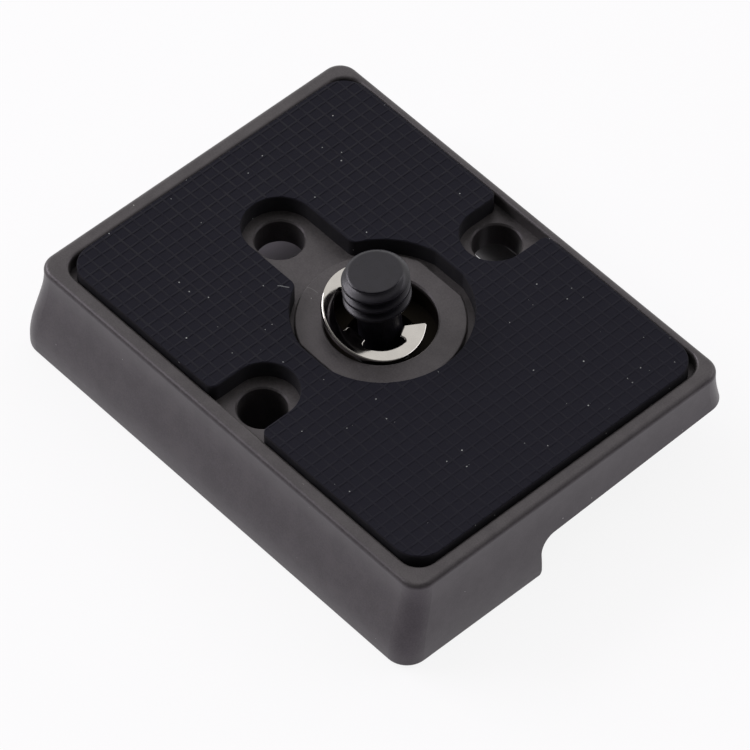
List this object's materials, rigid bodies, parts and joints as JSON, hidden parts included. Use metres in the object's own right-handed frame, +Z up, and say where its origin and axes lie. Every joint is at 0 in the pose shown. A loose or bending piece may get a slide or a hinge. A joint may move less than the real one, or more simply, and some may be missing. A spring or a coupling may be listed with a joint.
{
  "type": "tripod quick release plate",
  "caption": "Flared rectangular camera plate with a gridded rubber pad, plain holes and a captive camera screw that is turned by a folding ring underneath.",
  "frame": {"origin": "on the surface that the plate stands on, under the middle of its footprint", "axes": "+X along the plate, +Y towards the far long side, away from the thick foot, +Z up, the way the camera screw points"},
  "size_m": [0.053, 0.041, 0.0159],
  "materials": {
    "cast_body": "satin dark grey coat on a die casting",
    "pad_rubber": "matt, moulded with a fine square grid",
    "black_steel": "black oxide, satin",
    "bright_wire": "bright plated wire",
    "bright_nickel": "bright nickel plate"
  },
  "bodies": {
    "plate": {"plate_body": "cast_body", "grip_pad": "pad_rubber"},
    "clip": {"retaining_clip": "bright_nickel"},
    "screw": {"camera_screw": "black_steel"},
    "ring": {"d_ring": "bright_wire"}
  },
  "joints": [
    {"name": "screw_lift", "type": "slide", "parent": "plate", "child": "clip", "axis": [0, 0, 1], "range_m": [0, 0.00115]},
    {"name": "screw_turn", "type": "hinge", "parent": "clip", "child": "screw", "pos_m": [0.00013, 0.0009, 0.00369], "axis": [-0.0397, -0.0441, 0.9982], "continuous": true},
    {"name": "ring_fold", "type": "hinge", "parent": "screw", "child": "ring", "pos_m": [0.00022, 0.00099, 0.0015], "axis": [-0.9992, 0.0018, -0.0396], "range_deg": [0, 180]}
  ]
}
